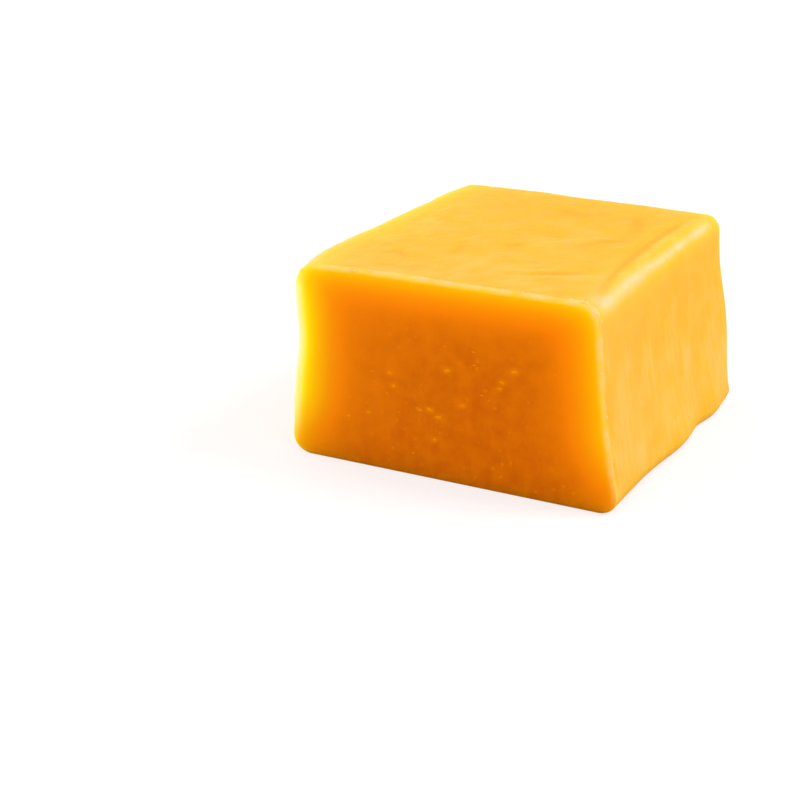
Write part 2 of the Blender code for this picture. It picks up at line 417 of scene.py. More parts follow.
right_half = ramp(loaf_x, -MIDDLE_HALF, MIDDLE_HALF)
left_half = 1 - right_half

# Random reliefs: the shortest and the longest wave, the seed and the number of waves
BROAD_WAVES = (0.0120, 0.0300, 2, 28)
PATCH_WAVES = (0.0180, 0.0340, 3, 28)
BEND_WAVES = (0.0120, 0.0260, 4, 28)
LEFT_WRINKLE_WAVES = (0.0020, 0.0052, 5, 44)
RIGHT_WRINKLE_WAVES = (0.0030, 0.0090, 16, 40)
FOLD_WAVES = (0.0034, 0.0080, 6, 30)
FOLD_PATCH_WAVES = (0.0050, 0.0120, 8, 28)
STREAK_WAVES = (0.0018, 0.0060, 7, 44)
BACK_STREAK_WAVES = (0.0018, 0.0060, 19, 44)
BEAD_WAVES = (0.0016, 0.0060, 9, 40)
RIM_BEAD_WAVES = (0.0022, 0.0090, 11, 40)
MOTTLE_WAVES = (0.0060, 0.0180, 17, 28)
EDGE_LINE_WAVES = (0.0012, 0.0040, 23, 40)
DRAG_WAVES = (0.0015, 0.0060, 13, 28)
BREAK_WAVES = (0.0060, 0.0200, 15, 28)

# The wrinkles' patches and bends, the band where they change direction, and the lean of the other lines
PATCH_LIMIT = 0.7
LEAST_WRINKLED = 0.35
BEND = 0.0022
TURNING_HALF = 0.014
FOLD_PATCHES = (0.0, 0.9)
STREAK_FAN = 0.10
EDGE_LINE_LEAN = 0.5
EDGE_LINE_STRETCH = 9.0

patches = ramp(waves(block_points, *PATCH_WAVES), -PATCH_LIMIT, PATCH_LIMIT)
bend = BEND * waves(block_points, *BEND_WAVES)
lengthwise = drawn_out(x, y, bend, LEFT_WRINKLE_TURN)
crosswise = drawn_out(x, y, bend, RIGHT_WRINKLE_TURN)
to_right = ramp(x + bend, -TURNING_HALF, TURNING_HALF)
wrinkles = (1 - to_right) * waves(lengthwise, *LEFT_WRINKLE_WAVES)
wrinkles += to_right * waves(crosswise, *RIGHT_WRINKLE_WAVES)
wrinkles *= LEAST_WRINKLED + (1 - LEAST_WRINKLED) * patches
folds = bell(waves(crosswise, *FOLD_WAVES), FOLD_SHARPNESS)
folds *= ramp(waves(block_points, *FOLD_PATCH_WAVES), *FOLD_PATCHES)
down_side = np.stack([y + STREAK_FAN * (z - HEIGHT / 2) * (y / LENGTH), z / STREAK_STRETCH], axis=1)
down_end = np.stack([x, z / STREAK_STRETCH], axis=1)
streaks = on_side * waves(down_side, *STREAK_WAVES) + on_back * waves(down_end, *BACK_STREAK_WAVES)
drag = waves(down_end, *DRAG_WAVES)
beads = waves(block_points, *BEAD_WAVES)
rim_beads = waves(block_points, *RIM_BEAD_WAVES)
mottle = waves(block_points, *MOTTLE_WAVES)
edge_lines = waves(np.stack([x + EDGE_LINE_LEAN * z, y / EDGE_LINE_STRETCH], axis=1), *EDGE_LINE_WAVES)

marks = np.zeros(len(block_points))
upper = np.flatnonzero(on_top > 0)
for height, width, path in TOP_MARKS:
    marks[upper] += height * mark(x[upper], y[upper], path, width)

# Where the furrow breaks off, how the left shoulder stands up a little, and the dips of the back corners
CUT_SMOOTHNESS = 0.6
FURROW_REACH = 0.0005
FURROW_BREAKS = (-0.5, 0.7)
LEFT_LIFT = 0.0004
LEFT_LIFT_REACH = 0.50
LIFT_BEHIND_CUT = (0.010, 0.030)
LIFT_BEFORE_BACK = (0.002, 0.020)
SHOULDER_LINE_REACH = 0.45
LINES_BEFORE_BACK = (0.004, 0.020)
BACK_CORNER_DIPS = ((-1, 0.0007), (1, 0.0002))
BACK_CORNER_INSET = 0.001
BACK_CORNER_REACH = 0.0042
CORNER_FACING = (0.0, 0.7)
LIP_REACH = 0.0009

relief = BROAD_DEPTH * waves(block_points, *BROAD_WAVES) * (1 - CUT_SMOOTHNESS * on_cut)
relief += on_top * (WRINKLE_DEPTH * wrinkles - FOLD_DEPTH * folds + marks)
relief += STREAK_DEPTH * streaks
relief += ridge * (RIDGE_HEIGHT + BEAD_DEPTH * beads)
furrow = off_cut * bell(from_cut - FURROW_BEHIND_RIM, FURROW_REACH)
furrow *= ramp(waves(block_points, *BREAK_WAVES), *FURROW_BREAKS)
relief -= FURROW_DEPTH * furrow
left_lift = LEFT_LIFT * left_half * bell(from_crest, LEFT_LIFT_REACH)
relief += left_lift * ramp(from_cut, *LIFT_BEHIND_CUT) * ramp(from_back, *LIFT_BEFORE_BACK)
relief += on_cut * DRAG_DEPTH * drag
for side, dip in BACK_CORNER_DIPS:
    across_gap = side * loaf_x - TOP_WIDTH / 2 + BACK_CORNER_INSET
    corner_gap = np.hypot(across_gap, loaf_y - LENGTH / 2 + BACK_CORNER_INSET)
    relief -= dip * bell(corner_gap, BACK_CORNER_REACH) * ramp(block_normals[:, 2], *CORNER_FACING)
shoulder_lines = left_half * off_cut * bell(from_crest, SHOULDER_LINE_REACH) * edge_lines
relief += STREAK_DEPTH * shoulder_lines * ramp(from_back, *LINES_BEFORE_BACK)
relief += bell(rim_gap, LIP_REACH) * (LIP_HEIGHT + RIM_DEPTH * rim_beads)
relief *= off_base
block_points = block_points + block_normals * relief[:, None]
block_points[:, 2] = np.maximum(block_points[:, 2], cheese_low[2])

# The tint of the skin: random mottle, streaks paler where raised, a paler patch low on the right side and a
# darker one on the top towards the back. The rest is painted shading: painted shade in the hollows of the
# wrinkles, folds and marks, in the crease line, the furrow and along the foot, and painted light on the
# crests and on the band beyond the crease, which faces up to the light
WRINKLE_SHADING = 0.26
FOLD_SHADE = 0.42
RAISED_MARK_LIGHT = 0.6
SUNK_MARK_SHADE = 1.4
FULL_MARK = 0.00013
SIDE_PATCH_TINT = 0.40
SIDE_PATCH_HEIGHT = 0.014
SIDE_PATCH_REACH = 0.010
MOTTLE_TINT = 0.17
STREAK_TINT = 0.17
FURROW_SHADE = 1.5
CREASE_SHADE = 1.9
CREASE_LINE_REACH = 0.0006
CREASE_BEHIND_CUT = (0.004, 0.014)
CREASE_BEFORE_BACK = (0.010, 0.030)
BEYOND_CREASE = (0.0004, 0.0024)
BEYOND_FACING = (0.3, 0.8)
BEYOND_CREASE_LIGHT = 0.35
BEYOND_CREASE_BEAD_LIGHT = 0.40
BACK_PATCH_TINT = 0.35
BACK_PATCH_Y = 0.030
BACK_PATCH_REACHES = (0.022, 0.014)
FOOT_SHADE = 0.8
FOOT_REACH = 0.0022

right_crease = loaf_x - RIGHT_CREASE_X - CREASE_BOW * (loaf_y - CREASE_MIDDLE_Y) ** 2
crease_shade_line = bell(right_crease, CREASE_LINE_REACH)
crease_shade_line *= ramp(from_cut, *CREASE_BEHIND_CUT) * ramp(from_back, *CREASE_BEFORE_BACK)
beyond_crease_light = ramp(right_crease, *BEYOND_CREASE) * ramp(block_normals[:, 2], *BEYOND_FACING)
beyond_crease_light *= BEYOND_CREASE_LIGHT + BEYOND_CREASE_BEAD_LIGHT * beads
skin_tone_and_painted_shading = on_top * (WRINKLE_SHADING * wrinkles - FOLD_SHADE * folds)
skin_tone_and_painted_shading += on_top * np.where(marks > 0, RAISED_MARK_LIGHT, SUNK_MARK_SHADE) * marks / FULL_MARK
skin_tone_and_painted_shading += SIDE_PATCH_TINT * on_side * right_half * bell(z - SIDE_PATCH_HEIGHT, SIDE_PATCH_REACH)
skin_tone_and_painted_shading += off_cut * MOTTLE_TINT * mottle + STREAK_TINT * streaks - FURROW_SHADE * furrow
skin_tone_and_painted_shading += block_normals[:, 2].clip(0, 1) * (beyond_crease_light - CREASE_SHADE * crease_shade_line)
back_patch = bell(x, BACK_PATCH_REACHES[0]) * bell(y - BACK_PATCH_Y, BACK_PATCH_REACHES[1])
skin_tone_and_painted_shading -= BACK_PATCH_TINT * on_top * back_patch
skin_tone_and_painted_shading -= FOOT_SHADE * off_cut * bell(z, FOOT_REACH)

# Painted highlight: a pale line along the rim of the cut, a pale patch at its top right corner and a pale
# band along each shoulder's crest, where the light catches the edges
EDGE_REACH = 0.0040
RIM_REACH = 0.00023
RIM_WAVER = 0.0003
RIM_FADE = (0.0003, 0.0013)
RIM_ABOVE_BASE = (0.0010, 0.0120)
RIM_HIGHLIGHT = 0.53
RIM_BEAD_HIGHLIGHT = 0.20
RIGHT_RIM_LOSS = 0.25
CORNER_INSET = 0.0012
CORNER_REACH = 0.0018
CORNER_FADE = (0.0006, 0.0014)
CORNER_HIGHLIGHT = 0.55
CORNER_BEAD_HIGHLIGHT = 0.35
RIDGE_SPREAD_AT_CUT = 0.9
RIDGE_NARROWS = (0.012, 0.050)
RIDGE_HIGHLIGHT = 0.92
RIDGE_BEAD_HIGHLIGHT = 0.18
RIDGE_MOTTLE_HIGHLIGHT = 0.22
RIDGE_BEHIND_CUT = 0.005
RIDGE_HIGHLIGHT_BEFORE_BACK = (0.006, 0.020)

on_left_edge = bell(loaf_x + TOP_WIDTH / 2, EDGE_REACH)
on_right_edge = bell(loaf_x - TOP_WIDTH / 2, EDGE_REACH)
near_rim = 1 - ramp(from_cut - RIM_WAVER * rim_beads, *RIM_FADE)
rim_and_ridge_highlight = bell(inside, RIM_REACH) * near_rim * ramp(z, *RIM_ABOVE_BASE)
rim_and_ridge_highlight *= RIM_HIGHLIGHT + RIM_BEAD_HIGHLIGHT * rim_beads
rim_and_ridge_highlight *= (1 - on_left_edge) * (1 - RIGHT_RIM_LOSS * on_right_edge)
corner_gap = np.hypot(loaf_x - TOP_WIDTH / 2 + CORNER_INSET, loaf_z - HEIGHT + CORNER_INSET)
corner_highlight = bell(corner_gap, CORNER_REACH) * (1 - ramp(inside, *CORNER_FADE)) * near_rim
rim_and_ridge_highlight += corner_highlight * (CORNER_HIGHLIGHT + CORNER_BEAD_HIGHLIGHT * beads)
ridge_reach = RIDGE_REACH * (1 + RIDGE_SPREAD_AT_CUT * (1 - ramp(from_cut, *RIDGE_NARROWS)))
ridge_highlight = RIDGE_HIGHLIGHT + RIDGE_BEAD_HIGHLIGHT * beads + RIDGE_MOTTLE_HIGHLIGHT * mottle
ridge_highlight *= bell(from_crest, ridge_reach)
ridge_highlight *= ramp(from_back, *RIDGE_HIGHLIGHT_BEFORE_BACK) * ramp(from_cut, 0.0, RIDGE_BEHIND_CUT)
rim_and_ridge_highlight = np.clip(rim_and_ridge_highlight + off_cut * ridge_highlight, 0.0, 1.0)

# Painted light down the left rim of the cut: a pale line painted where the light comes right through the
# thin edge
RIM_LIGHT_REACH = 0.0010
RIM_LIGHT_FROM_LEFT = 0.0018
RIM_LIGHT_BEHIND_CUT = (0.0002, 0.0010)
RIM_LIGHT_ABOVE_BASE = (0.0020, 0.0180)
RIM_LIGHT_BELOW_TOP = 0.0090

painted_rim_light_tint = bell(inside, RIM_LIGHT_REACH)
painted_rim_light_tint *= bell(loaf_x + TOP_WIDTH / 2 - end_inset(loaf_y), RIM_LIGHT_FROM_LEFT)
painted_rim_light_tint *= (1 - ramp(from_cut, *RIM_LIGHT_BEHIND_CUT)) * ramp(from_top, 0.0, RIM_LIGHT_BELOW_TOP)
painted_rim_light_tint *= ramp(z, *RIM_LIGHT_ABOVE_BASE)

# Painted light: the glow of light in the paste, painted into the colour near the shoulders and near the
# edges of the cut. Each edge gives a share that falls off with the distance from it: strength, reach and
# distance
SHOULDER_START = 0.003
SHOULDER_LINES = (0.92, 0.14)
GLOW_FALL = 1.4
GLOW_JOIN = 1.8
LEFT_GLOW = 2.4
LEFT_GLOW_LOSS = 1.1
LEFT_GLOW_LOSS_REACH = 0.0045
EVEN_GLOW = 0.05
EVEN_GLOW_HEIGHT = 0.018
EVEN_GLOW_REACHES = (0.018, 0.014)
BASE_GLOW = 0.3
BASE_GLOW_FADE = (0.001, 0.020)

skin_glow = np.zeros(len(block_points))
for strength, reach, gap in (
    (1.0, 0.0048, loaf_x + TOP_WIDTH / 2 + from_top),
    (0.30, 0.0050, TOP_WIDTH / 2 - loaf_x + from_top),
    (0.25, 0.0045, LENGTH / 2 - loaf_y + from_top),
):
    skin_glow += strength * np.exp(-np.clip(gap - SHOULDER_START, 0.0, None) / reach)
skin_glow *= SHOULDER_LINES[0] + SHOULDER_LINES[1] * edge_lines
cut_glow = np.zeros(len(block_points))
for strength, reach, gap in (
    (LEFT_GLOW - LEFT_GLOW_LOSS * bell(from_top, LEFT_GLOW_LOSS_REACH), 0.0069, loaf_x + TOP_WIDTH / 2),
    (0.20, 0.0240, loaf_x + TOP_WIDTH / 2),
    (1.05, 0.0058, from_top),
    (0.10, 0.0180, from_top),
    (1.02, 0.0072, TOP_WIDTH / 2 - loaf_x),
):
    cut_glow += (strength * np.exp(-(np.clip(gap, 0.0, None) / reach) ** GLOW_FALL)) ** GLOW_JOIN
cut_glow = cut_glow ** (1 / GLOW_JOIN)
# Painted shade: the middle of the cut gets less of the painted glow, and the glow fades towards the base
middle = bell(x, EVEN_GLOW_REACHES[0]) * bell(z - EVEN_GLOW_HEIGHT, EVEN_GLOW_REACHES[1])
cut_glow += EVEN_GLOW * (1 - middle)
cut_glow *= BASE_GLOW + (1 - BASE_GLOW) * ramp(loaf_z, *BASE_GLOW_FADE)
painted_glow_tint = np.clip(on_cut * cut_glow + off_cut * np.clip(skin_glow, 0.0, 1.0), 0.0, 2.0)

# The flecks' halos in the paste round them, and the faint drag of the knife down the cut
HALO_REACH = 0.00048
HALO_STRETCH = 1.5

fleck_across = (x[:, None] - form_shift[0] - FLECK_PLACES[:, 0]) / HALO_STRETCH
fleck_gap = np.hypot(fleck_across, z[:, None] - FLECK_PLACES[:, 1])
fleck_tint = on_cut * bell(fleck_gap, HALO_REACH * FLECK_PLACES[:, 2]).max(axis=1)
drag_tint = on_cut * drag


def make_piece(name, points, quads, tints, material):
    """A mesh object at the origin from arrays of points and quads, with each tint as a point attribute."""
    mesh = bpy.data.meshes.new(name)
    mesh.vertices.add(len(points))
    mesh.vertices.foreach_set("co", points.astype(np.float32).ravel())
    mesh.loops.add(quads.size)
    mesh.loops.foreach_set("vertex_index", quads.astype(np.int32).ravel())
    mesh.polygons.add(len(quads))
    mesh.polygons.foreach_set("loop_start", np.arange(0, quads.size, 4, dtype=np.int32))
    mesh.update(calc_edges=True)
    mesh.validate()
    mesh.shade_smooth()
    for tint, values in tints.items():
        layer = mesh.attributes.new(tint, "FLOAT", "POINT")
        layer.data.foreach_set("value", values.astype(np.float32))
    mesh.materials.append(material)
    piece = bpy.data.objects.new(name, mesh)
    bpy.context.scene.collection.objects.link(piece)
    return piece


def link(tree, *pairs):
    """Joins each pair of output and input sockets in a node tree."""
    for output, target in pairs:
        tree.links.new(output, target)


def waxy_grain_group():
    """Cheese paste seen close: Cloud is soft mottling a few millimetres wide, Grain is the fine waxy
    relief of the surface, and Fleck is 1 in small scattered spots of paler paste, one in some cells."""
    group = bpy.data.node_groups.new("waxy grain", "ShaderNodeTree")
    cell = group.interface.new_socket(name="Cloud Scale", in_out="INPUT", socket_type="NodeSocketFloat")
    cell.default_value = 220.0
    fine = group.interface.new_socket(name="Grain Scale", in_out="INPUT", socket_type="NodeSocketFloat")
    fine.default_value = 1500.0
    spot = group.interface.new_socket(name="Fleck Size", in_out="INPUT", socket_type="NodeSocketFloat")
    spot.default_value = 0.09
    for output in ("Cloud", "Grain", "Fleck"):
        group.interface.new_socket(name=output, in_out="OUTPUT", socket_type="NodeSocketFloat")
    nodes = group.nodes
    inlet = nodes.new("NodeGroupInput")
    outlet = nodes.new("NodeGroupOutput")
    place = nodes.new("ShaderNodeTexCoord")

    cloud = nodes.new("ShaderNodeTexNoise")
    cloud.inputs["Detail"].default_value = 4.0
    cloud.inputs["Roughness"].default_value = 0.62
    grain = nodes.new("ShaderNodeTexNoise")
    grain.inputs["Detail"].default_value = 3.0
    grain.inputs["Roughness"].default_value = 0.7
    cells = nodes.new("ShaderNodeTexVoronoi")
    cells.inputs["Scale"].default_value = 430.0
    parted = nodes.new("ShaderNodeSeparateColor")

    # A spot fades out at three times its size, and only the cells with enough red in them have one
    outer = nodes.new("ShaderNodeMath")
    outer.operation = "MULTIPLY"
    outer.inputs[1].default_value = 3.0
    within = nodes.new("ShaderNodeMapRange")
    within.interpolation_type = "SMOOTHSTEP"
    within.inputs["To Min"].default_value = 1.0
    within.inputs["To Max"].default_value = 0.0
    some = nodes.new("ShaderNodeMapRange")
    some.inputs["From Min"].default_value = 0.30
    some.inputs["From Max"].default_value = 0.95
    fleck = nodes.new("ShaderNodeMath")
    fleck.operation = "MULTIPLY"
    link(group,
         (place.outputs["Object"], cloud.inputs["Vector"]),
         (place.outputs["Object"], grain.inputs["Vector"]),
         (place.outputs["Object"], cells.inputs["Vector"]),
         (inlet.outputs["Cloud Scale"], cloud.inputs["Scale"]),
         (inlet.outputs["Grain Scale"], grain.inputs["Scale"]),
         (inlet.outputs["Fleck Size"], outer.inputs[0]),
         (inlet.outputs["Fleck Size"], within.inputs["From Min"]),
         (outer.outputs[0], within.inputs["From Max"]),
         (cells.outputs["Distance"], within.inputs["Value"]),
         (cells.outputs["Color"], parted.inputs["Color"]),
         (parted.outputs["Red"], some.inputs["Value"]),
         (within.outputs["Result"], fleck.inputs[0]),
         (some.outputs["Result"], fleck.inputs[1]),
         (cloud.outputs["Fac"], outlet.inputs["Cloud"]),
         (grain.outputs["Fac"], outlet.inputs["Grain"]),
         (fleck.outputs[0], outlet.inputs["Fleck"]))
    return group


def fine_lines_group():
    """Fine creases in the skin: Lines runs from 0 in their hollows to 1 on their crests. It is noise in
    coordinates bent a little, turned about the upright axis and then drawn out by the Stretch."""
    group = bpy.data.node_groups.new("fine lines", "ShaderNodeTree")
    group.interface.new_socket(name="Turn", in_out="INPUT", socket_type="NodeSocketFloat")
    group.interface.new_socket(name="Stretch", in_out="INPUT", socket_type="NodeSocketVector")
    group.interface.new_socket(name="Lines", in_out="OUTPUT", socket_type="NodeSocketFloat")
    nodes = group.nodes
    inlet = nodes.new("NodeGroupInput")
    outlet = nodes.new("NodeGroupOutput")
    place = nodes.new("ShaderNodeTexCoord")
    wander = nodes.new("ShaderNodeTexNoise")
    wander.inputs["Scale"].default_value = 90.0
    centred = nodes.new("ShaderNodeVectorMath")
    centred.operation = "SUBTRACT"
    centred.inputs[1].default_value = (0.5, 0.5, 0.5)
    scaled = nodes.new("ShaderNodeVectorMath")
    scaled.operation = "SCALE"
    scaled.inputs["Scale"].default_value = 0.004
    bent = nodes.new("ShaderNodeVectorMath")
    turned = nodes.new("ShaderNodeVectorRotate")
    turned.rotation_type = "Z_AXIS"
    drawn = nodes.new("ShaderNodeVectorMath")
    drawn.operation = "MULTIPLY"
    lines = nodes.new("ShaderNodeTexNoise")
    lines.inputs["Scale"].default_value = 850.0
    lines.inputs["Detail"].default_value = 2.0
    spread = nodes.new("ShaderNodeMapRange")
    spread.inputs["From Min"].default_value = 0.32
    spread.inputs["From Max"].default_value = 0.68
    link(group,
         (place.outputs["Object"], wander.inputs["Vector"]),
         (wander.outputs["Color"], centred.inputs[0]),
         (centred.outputs["Vector"], scaled.inputs[0]),
         (place.outputs["Object"], bent.inputs[0]),
         (scaled.outputs["Vector"], bent.inputs[1]),
         (bent.outputs["Vector"], turned.inputs["Vector"]),
         (inlet.outputs["Turn"], turned.inputs["Angle"]),
         (turned.outputs["Vector"], drawn.inputs[0]),
         (inlet.outputs["Stretch"], drawn.inputs[1]),
         (drawn.outputs["Vector"], lines.inputs["Vector"]),
         (lines.outputs["Fac"], spread.inputs["Value"]),
         (spread.outputs["Result"], outlet.inputs["Lines"]))
    return group


def worked_out(tree, operation, *values):
    """The result of a Math node; each value is a number or a socket."""
    node = tree.nodes.new("ShaderNodeMath")
    node.operation = operation
    for value, target in zip(values, node.inputs):
        if isinstance(value, float):
            target.default_value = value
        else:
            tree.links.new(value, target)
    return node.outputs[0]


def blend_colours(tree, share, first, second):
    """The mix of two colours by a share from 0 to 1; first and second are colours or sockets. The colours
    of a Mix node are its inputs 6 and 7 and its output 2."""
    mix = tree.nodes.new("ShaderNodeMix")
    mix.data_type = "RGBA"
    for colour, target in ((first, mix.inputs[6]), (second, mix.inputs[7])):
        if isinstance(colour, tuple):
            target.default_value = (*colour, 1.0)
        else:
            tree.links.new(colour, target)
    tree.links.new(share, mix.inputs[0])
    return mix.outputs[2]


def ranged(tree, value, from_low, from_high, to_low, to_high):
    """A value carried from one range to another in a straight line, and held at its ends."""
    node = tree.nodes.new("ShaderNodeMapRange")
    limits = (("From Min", from_low), ("From Max", from_high), ("To Min", to_low), ("To Max", to_high))
    for socket, limit in limits:
        node.inputs[socket].default_value = limit
    tree.links.new(value, node.inputs["Value"])
    return node.outputs["Result"]


def tint_of(tree, name):
    """The point attribute of that name, as a value."""
    node = tree.nodes.new("ShaderNodeAttribute")
    node.attribute_name = name
    return node.outputs["Fac"]


# Colours of the paste, and how far light travels in it: red furthest, blue hardly at all. The cut is the
# same paste as the skin, but its colours and its flecks' are painted darker and deeper orange: painted shade
# on the cut face. The glow colours are painted light near lit edges. The two rim colours are a painted
# highlight and painted light on the rim, and the first is also the crumbs' own colour.
SKIN_DEEP = (0.96, 0.355, 0.006)
SKIN_MEAN = (0.97, 0.415, 0.016)
SKIN_PALE = (0.99, 0.530, 0.110)
SKIN_GLOW = (1.00, 0.595, 0.036)
CUT_SHADED_DEEP = (0.612, 0.119, 0.000)
CUT_SHADED_MEAN = (0.702, 0.157, 0.000)
CUT_WARM_GLOW = (0.91, 0.250, 0.000)
CUT_GLOW = (1.00, 0.480, 0.000)
CUT_BLAZE = (1.00, 0.780, 0.000)
PALE_CRUMB_AND_RIM_HIGHLIGHT = (1.00, 0.530, 0.275)
RIM_LIGHT_WHITE = (1.00, 0.810, 0.480)
FLECK_PALE = (0.90, 0.270, 0.000)
LIGHT_TRAVEL = (1.5, 1.1, 0.35)
LIGHT_TRAVEL_SCALE = 0.010

# The waxy sheen, and the fine lines: along the left wrinkles on the top, and upright on the sides
SHEEN_TINT = (1.0, 0.80, 0.08, 1.0)
SKIN_ROUGHNESS = (0.40, 0.56)
LINE_FAMILIES = (
    ("top", -LEFT_WRINKLE_TURN, (0.15, 1.0, 1.0)),
    ("side", 0.0, (1.0, 1.0, 0.15)),
)
# The fine lines' colour is painted shading: darker in their hollows, paler on their crests
LINE_SHADING = 0.13
LINE_HEIGHT = 1.5

cheese = bpy.data.materials.new("cheese paste")
cheese.use_nodes = True
tree = cheese.node_tree
shader = tree.nodes["Principled BSDF"]
grain = tree.nodes.new("ShaderNodeGroup")
grain.node_tree = waxy_grain_group()
grain.inputs["Cloud Scale"].default_value = 230.0
grain.inputs["Grain Scale"].default_value = 1400.0
grain.inputs["Fleck Size"].default_value = 0.10

lines = 0.0
lines_group = fine_lines_group()
for mask, turn, stretch in LINE_FAMILIES:
    family = tree.nodes.new("ShaderNodeGroup")
    family.node_tree = lines_group
    family.inputs["Turn"].default_value = turn
    family.inputs["Stretch"].default_value = stretch
    lines = worked_out(tree, "MULTIPLY_ADD", family.outputs["Lines"], tint_of(tree, mask), lines)

# The skin's colour from its tint, which carries painted shade in hollows and painted light on crests
skin_share = ranged(tree, tint_of(tree, "skin"), -1.4, 1.4, -0.06, 0.94)
skin_share = worked_out(tree, "MULTIPLY_ADD", lines, LINE_SHADING, skin_share)
skin = blend_colours(tree, ranged(tree, skin_share, 0.0, 0.5, 0.0, 1.0), SKIN_DEEP, SKIN_MEAN)
skin = blend_colours(tree, ranged(tree, skin_share, 0.5, 1.0, 0.0, 1.0), skin, SKIN_PALE)
# Painted glow of light on the shoulders
skin = blend_colours(tree, tint_of(tree, "glow"), skin, SKIN_GLOW)
# The cut face's colour: painted shade, darker and deeper orange than the skin's, mottled between two tones
cut = blend_colours(tree, ranged(tree, grain.outputs["Cloud"], 0.35, 0.65, 0.0, 1.0), CUT_SHADED_DEEP, CUT_SHADED_MEAN)
# The cut's pale flecks and knife drag, then the painted glow of light near its edges in three steps
for driver, low, high, cover, colour in (
    (grain.outputs["Fleck"], 0.0, 1.0, 0.40, FLECK_PALE),
    (tint_of(tree, "fleck"), 0.0, 1.0, 0.90, FLECK_PALE),
    (tint_of(tree, "drag"), 0.0, 2.0, 0.12, FLECK_PALE),
    (tint_of(tree, "glow"), 0.0, 0.3, 1.0, CUT_WARM_GLOW),
    (tint_of(tree, "glow"), 0.3, 1.0, 1.0, CUT_GLOW),
    (tint_of(tree, "glow"), 1.0, 2.0, 1.0, CUT_BLAZE),
):
    cut = blend_colours(tree, ranged(tree, driver, low, high, 0.0, cover), cut, colour)
paste = blend_colours(tree, tint_of(tree, "cut"), skin, cut)
# Painted highlights on the rim, its corner and the shoulder ridges, and the painted light down the left rim
for tint, colour in (("rim", PALE_CRUMB_AND_RIM_HIGHLIGHT), ("painted_rim_light", RIM_LIGHT_WHITE)):
    paste = blend_colours(tree, ranged(tree, tint_of(tree, tint), 0.0, 1.0, 0.0, 0.9), paste, colour)
bump = tree.nodes.new("ShaderNodeBump")
bump.inputs["Strength"].default_value = 0.30
bump.inputs["Distance"].default_value = 0.00015
link(tree,
     (paste, shader.inputs["Base Color"]),
     (ranged(tree, grain.outputs["Cloud"], 0.3, 0.7, *SKIN_ROUGHNESS), shader.inputs["Roughness"]),
     (worked_out(tree, "MULTIPLY_ADD", lines, LINE_HEIGHT, grain.outputs["Grain"]), bump.inputs["Height"]),
     (bump.outputs["Normal"], shader.inputs["Normal"]))
shader.inputs["Subsurface Weight"].default_value = 0.7
shader.inputs["Subsurface Radius"].default_value = LIGHT_TRAVEL
shader.inputs["Subsurface Scale"].default_value = LIGHT_TRAVEL_SCALE
shader.inputs["Specular IOR Level"].default_value = 0.16
shader.inputs["Specular Tint"].default_value = SHEEN_TINT

# The skin, rim and glow attributes carry painted shading, painted highlights and painted glow
block = make_piece("butter_cheese", block_points, block_quads,
                   {"skin": skin_tone_and_painted_shading, "cut": on_cut, "rim": rim_and_ridge_highlight, "glow": painted_glow_tint,
                    "painted_rim_light": painted_rim_light_tint, "fleck": fleck_tint, "drag": drag_tint,
                    "top": on_top, "side": on_side + on_back}, cheese)
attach(block, "root")
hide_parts("cheese_block")

# Crumbs and flecks
# The knife left crumbs along the rim of the cut, most of them at its top right corner, and small flecks
# of firmer, paler paste stand a little proud of the cut face. Each is a lump pressed into the surface.
CRUMB_COLOUR = (1.00, 0.64, 0.25)
# The flecks' bright colour is deep orange like the cut's: painted shade
FLECK_BRIGHT = (0.94, 0.350, 0.000)
LUMP_ROUGHNESS = (0.42, 0.60)
LUMP_CUTS = 4
SWELLING = 0.16
CURL = 0.5

# Crumbs: half sizes, the flattening of all, the swelling of those at the corner, and how they spread
CRUMB_SIZE = (0.00014, 0.00038)
CRUMB_SHAPE = (1.2, 0.9, 0.7)
CORNER_CRUMBS = 12
CORNER_CRUMB_SHAPE = (1.5, 1.4, 1.1)
CORNER_CRUMB_SPREAD = 0.10
RIM_CRUMBS = 24
TOP_RIM_SHARE = 0.7
LOWEST_RIM_CRUMB = -0.7
CRUMBS_BEHIND_CUT = 0.0008
CRUMB_FORWARD = -0.5
CRUMB_FACING_POWER = 9

# Flecks: half length and half breadth, height, lean, and the ranges of the scattered ones, which are the
# place across, the place up and the size
FLECK_SIZE = (0.00060, 0.00090)
FLECK_BREADTH = (0.00024, 0.00036)
FLECK_HEIGHT = 0.00008
FLECK_LEAN = (-0.35, 0.45)
SCATTERED_FLECKS = 36
SCATTER_RANGES = ((-0.025, 0.027), (0.005, 0.036), (0.20, 0.55))


def lumps(places, outward, sideways, sizes, seed):
    """One rough lump at each place: a ball whose radius varies with direction, drawn out sideways, bent a
    little like a comma and flattened outward. Sizes are half lengths sideways, across and outward."""
    draw = np.random.default_rng(seed)
    cuts = np.linspace(-1.0, 1.0, LUMP_CUTS)
    ball, quads = box_of_cuts(cuts, cuts, cuts)
    ball /= np.linalg.norm(ball, axis=1, keepdims=True)
    swelling = 1 + SWELLING * np.sin(ball @ draw.normal(scale=2.2, size=(len(places), 3, 1)) + 1.0)[:, :, 0]
    across = np.cross(outward, sideways)
    local = ball[None] * swelling[:, :, None] * sizes[:, None, :]
    curl = draw.uniform(-CURL, CURL, len(places))[:, None]
    local[:, :, 1] += curl * local[:, :, 0] ** 2 / sizes[:, None, 0]
    axes = np.stack([sideways, across, outward], axis=1)
    points = places[:, None, :] + np.einsum("nvk,nkc->nvc", local, axes)
    numbers = quads[None] + len(ball) * np.arange(len(places))[:, None, None]
    return points.reshape(-1, 3), numbers.reshape(-1, 4)


